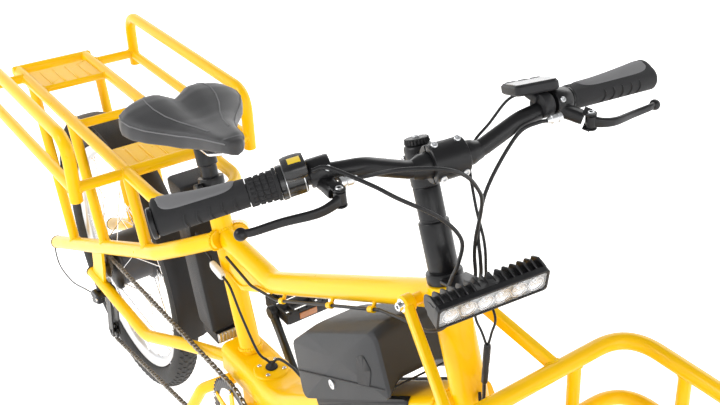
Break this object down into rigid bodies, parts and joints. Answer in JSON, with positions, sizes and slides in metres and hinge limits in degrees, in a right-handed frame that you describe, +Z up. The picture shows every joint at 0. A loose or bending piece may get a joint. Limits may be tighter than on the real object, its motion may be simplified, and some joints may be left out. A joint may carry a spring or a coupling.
{
  "type": "electric cargo bicycle",
  "caption": "Long electric cargo bicycle with rear carrier and side hoops, frame-mounted front rack ring, wide lamp, riser bars, wide saddle and a centre stand",
  "frame": {"origin": "middle of the footprint's bounding box, on the ground", "axes": "+X forward along the bicycle, +Y to the rider's left, +Z up"},
  "size_m": [2.2006, 0.6692, 1.1923],
  "materials": {
    "frame_paint": "gloss",
    "black_metal": "satin",
    "lamp_housing": "satin",
    "black_plastic": "matte",
    "grey_plastic": "satin",
    "tyre": "matte",
    "rim_alloy": "satin",
    "drive_steel": "satin",
    "crank_alloy": "satin",
    "grip_rubber": "matte",
    "cable_rubber": "satin",
    "saddle_cover": "satin",
    "bright_steel": "polished",
    "lens": "clear",
    "white_plastic": "gloss",
    "grey_rubber": "matte",
    "reflector_amber": "gloss"
  },
  "bodies": {
    "frame": {"head_tube": "frame_paint", "seat_tube": "frame_paint", "down_tube": "frame_paint", "top_tube": "frame_paint", "cable_cover_plate": "frame_paint", "bottom_bracket_shell": "frame_paint", "mid_stay_right": "frame_paint", "mid_stay_left": "frame_paint", "chainstay_right": "frame_paint", "chainstay_left": "frame_paint", "rack_platform": "frame_paint", "side_hoop_right": "frame_paint", "side_hoop_left": "frame_paint", "rack_upright_rear_right": "frame_paint", "rack_upright_rear_left": "frame_paint", "rack_upright_mid_right": "frame_paint", "rack_upright_mid_left": "frame_paint", "rack_upright_front_right": "frame_paint", "rack_upright_front_left": "frame_paint", "front_rack_upper_ring": "frame_paint", "front_rack_lower_ring": "frame_paint", "front_rack_strut_right": "frame_paint", "front_rack_strut_left": "frame_paint", "front_battery": "grey_plastic", "rear_battery": "black_plastic", "chain": "drive_steel", "rear_derailleur": "black_metal", "rear_mudguard": "black_plastic", "seat_clamp": "black_metal", "rear_brake_caliper": "black_metal", "shift_cable_top_tube": "cable_rubber"},
    "steering": {"fork": "black_metal", "front_brake_caliper": "black_metal", "steering_column": "black_metal", "stem": "black_metal", "handlebar": "black_metal", "grip_right": "grip_rubber", "grip_left": "grip_rubber", "shifter_body": "black_plastic", "brake_bracket_right": "black_metal", "brake_bracket_left": "black_metal", "display_unit": "black_plastic", "headlight_bracket": "black_metal"},
    "headlight": {"headlight": "lamp_housing"},
    "brake_lever_right": {"brake_lever_right": "black_metal"},
    "brake_lever_left": {"brake_lever_left": "black_metal"},
    "twist_grip": {"twist_shifter": "grip_rubber"},
    "front_wheel": {"front_tyre": "tyre", "front_wheel": "rim_alloy"},
    "rear_wheel": {"rear_tyre": "tyre", "rear_wheel": "rim_alloy"},
    "rear_sprocket": {"rear_sprocket": "drive_steel"},
    "crankset": {"crankset": "crank_alloy"},
    "pedal_right": {"pedal_right": "black_plastic"},
    "pedal_left": {"pedal_left": "black_plastic"},
    "seat": {"seat_post": "black_metal", "saddle": "saddle_cover"},
    "seat_quick_lever": {"seat_quick_lever": "black_metal"},
    "centre_stand": {"centre_stand": "frame_paint"}
  },
  "joints": [
    {"name": "steering_turn", "type": "hinge", "parent": "frame", "child": "steering", "pos_m": [0.51253, 0.00964, 0.92762], "axis": [-0.314, 0, 0.9494], "range_deg": [-40, 60]},
    {"name": "front_wheel_spin", "type": "hinge", "parent": "steering", "child": "front_wheel", "pos_m": [0.76889, -0.00043, 0.3342], "axis": [0.1649, 0.9848, 0.0545], "continuous": true},
    {"name": "headlight_tilt", "type": "hinge", "parent": "steering", "child": "headlight", "pos_m": [0.61806, -0.01048, 0.97195], "axis": [0.1649, 0.9848, 0.0545], "range_deg": [-20, 20]},
    {"name": "brake_lever_right_pull", "type": "hinge", "parent": "steering", "child": "brake_lever_right", "pos_m": [0.5366, -0.15695, 1.11258], "axis": [-0.0045, -0.0545, 0.9985], "range_deg": [-14, 0], "stiffness_Nm_per_rad": 1.5, "springref_deg": 17.19},
    {"name": "brake_lever_left_pull", "type": "hinge", "parent": "steering", "child": "brake_lever_left", "pos_m": [0.58586, 0.18542, 1.12571], "axis": [-0.0045, -0.0545, 0.9985], "range_deg": [0, 14], "stiffness_Nm_per_rad": 1.5, "springref_deg": -17.19},
    {"name": "twist_grip_turn", "type": "hinge", "parent": "steering", "child": "twist_grip", "pos_m": [0.47932, -0.2021, 1.12922], "axis": [-0.3268, -0.9287, -0.1754], "range_deg": [-40, 60]},
    {"name": "crank_spin", "type": "hinge", "parent": "frame", "child": "crankset", "pos_m": [-0.09027, 0.00964, 0.30251], "axis": [0, 1, 0], "continuous": true},
    {"name": "pedal_right_spin", "type": "hinge", "parent": "crankset", "child": "pedal_right", "pos_m": [0.00724, 0.00964, 0.16325], "axis": [0, 1, 0], "continuous": true},
    {"name": "pedal_left_spin", "type": "hinge", "parent": "crankset", "child": "pedal_left", "pos_m": [-0.18778, 0.00964, 0.44176], "axis": [0, 1, 0], "continuous": true},
    {"name": "rear_sprocket_spin", "type": "hinge", "parent": "frame", "child": "rear_sprocket", "pos_m": [-0.74427, 0.00964, 0.33447], "axis": [0, 1, 0], "continuous": true},
    {"name": "rear_wheel_spin", "type": "hinge", "parent": "frame", "child": "rear_wheel", "pos_m": [-0.74427, 0.00964, 0.33447], "axis": [0, 1, 0], "continuous": true},
    {"name": "seat_height", "type": "slide", "parent": "frame", "child": "seat", "axis": [-0.2741, 0, 0.9617], "range_m": [-0.018, 0.08]},
    {"name": "seat_quick_lever_turn", "type": "hinge", "parent": "frame", "child": "seat_quick_lever", "pos_m": [-0.19204, 0.00964, 0.77151], "axis": [0, 1, 0], "range_deg": [-150, 0]},
    {"name": "centre_stand_fold", "type": "hinge", "parent": "frame", "child": "centre_stand", "pos_m": [-0.19027, 0.00964, 0.32251], "axis": [0, 1, 0], "range_deg": [0, 36], "stiffness_Nm_per_rad": 25, "springref_deg": -80.21}
  ],
  "couplings": [
    {"joint": "rear_sprocket_spin", "follows": "crank_spin", "ratio": 2.75}
  ]
}
